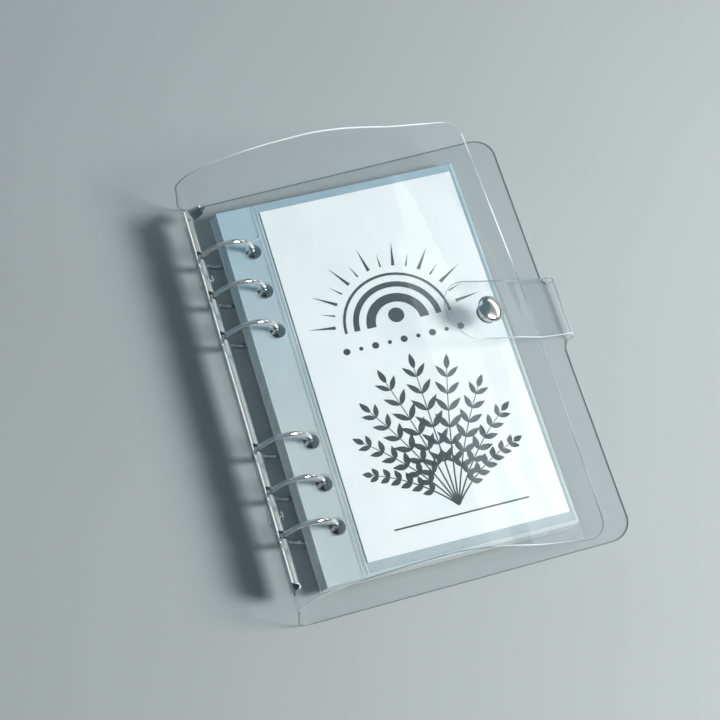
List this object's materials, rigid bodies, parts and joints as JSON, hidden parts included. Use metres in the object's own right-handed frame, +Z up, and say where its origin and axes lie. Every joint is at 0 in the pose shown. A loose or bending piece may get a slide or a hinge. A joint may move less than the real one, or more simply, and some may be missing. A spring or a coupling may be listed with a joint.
{
  "type": "six-ring cash envelope wallet",
  "caption": "Clear soft plastic ring wallet with an arched front cover, snap strap and chrome ring metal holding tilted film envelopes with cards.",
  "frame": {"origin": "centre of the bounding box's bottom face, on the table under the back cover", "axes": "+X from the spine to the opening side, +Y up the spine to the top of the book, +Z up from the table"},
  "size_m": [0.1458, 0.192, 0.0435],
  "materials": {
    "clear_sheet": "clear soft sheet, glossy, with polished cut edges",
    "chrome": "polished plating",
    "steel": "plain plated steel",
    "envelope_film": "thin clear film, slightly cloudy where layers lie together",
    "card_stock": "smooth white card"
  },
  "bodies": {
    "binder": {"back_cover": "clear_sheet", "ring_plate": "chrome", "rivet_1": "chrome", "rivet_2": "chrome", "lever_pin": "steel", "envelope_1": "envelope_film", "envelope_2": "envelope_film", "envelope_3": "envelope_film", "envelope_4": "envelope_film", "envelope_5": "envelope_film", "envelope_6": "envelope_film", "card_1": "card_stock", "card_2": "card_stock", "card_3": "card_stock", "card_4": "card_stock", "card_5": "card_stock", "card_6": "card_stock"},
    "front": {"front_cover": "clear_sheet", "snap_stud": "steel", "snap_eyelet": "steel"},
    "strap": {"closing_strap": "clear_sheet", "snap_cap": "chrome", "snap_socket": "steel"},
    "upper_rings": {"upper_blade": "steel", "upper_ring_1": "chrome", "upper_ring_2": "chrome", "upper_ring_3": "chrome", "upper_ring_4": "chrome", "upper_ring_5": "chrome", "upper_ring_6": "chrome"},
    "lower_rings": {"lower_blade": "steel", "lower_ring_1": "chrome", "lower_ring_2": "chrome", "lower_ring_3": "chrome", "lower_ring_4": "chrome", "lower_ring_5": "chrome", "lower_ring_6": "chrome"},
    "lever": {"opening_lever": "chrome"}
  },
  "joints": [
    {"name": "front_cover_hinge", "type": "hinge", "parent": "binder", "child": "front", "pos_m": [-0.07245, 0, 0.02255], "axis": [0, -1, 0], "range_deg": [0, 180]},
    {"name": "strap_fold", "type": "hinge", "parent": "binder", "child": "strap", "pos_m": [0.07325, 0.007, 0.00425], "axis": [0, 1, 0], "range_deg": [0, 150]},
    {"name": "lever_pivot", "type": "hinge", "parent": "binder", "child": "lever", "pos_m": [-0.06992, 0.0805, 0.0146], "axis": [0, 0, 1], "range_deg": [0, 10]},
    {"name": "upper_rings_open", "type": "hinge", "parent": "binder", "child": "upper_rings", "pos_m": [-0.0708, 0, 0.0196], "axis": [0, -1, 0], "range_deg": [0, 8]},
    {"name": "lower_rings_open", "type": "hinge", "parent": "binder", "child": "lower_rings", "pos_m": [-0.0708, 0, 0.0096], "axis": [0, 1, 0], "range_deg": [0, 8]}
  ],
  "couplings": [
    {"joint": "lower_rings_open", "follows": "upper_rings_open", "ratio": 1},
    {"joint": "lever_pivot", "follows": "upper_rings_open", "ratio": 1.25}
  ]
}
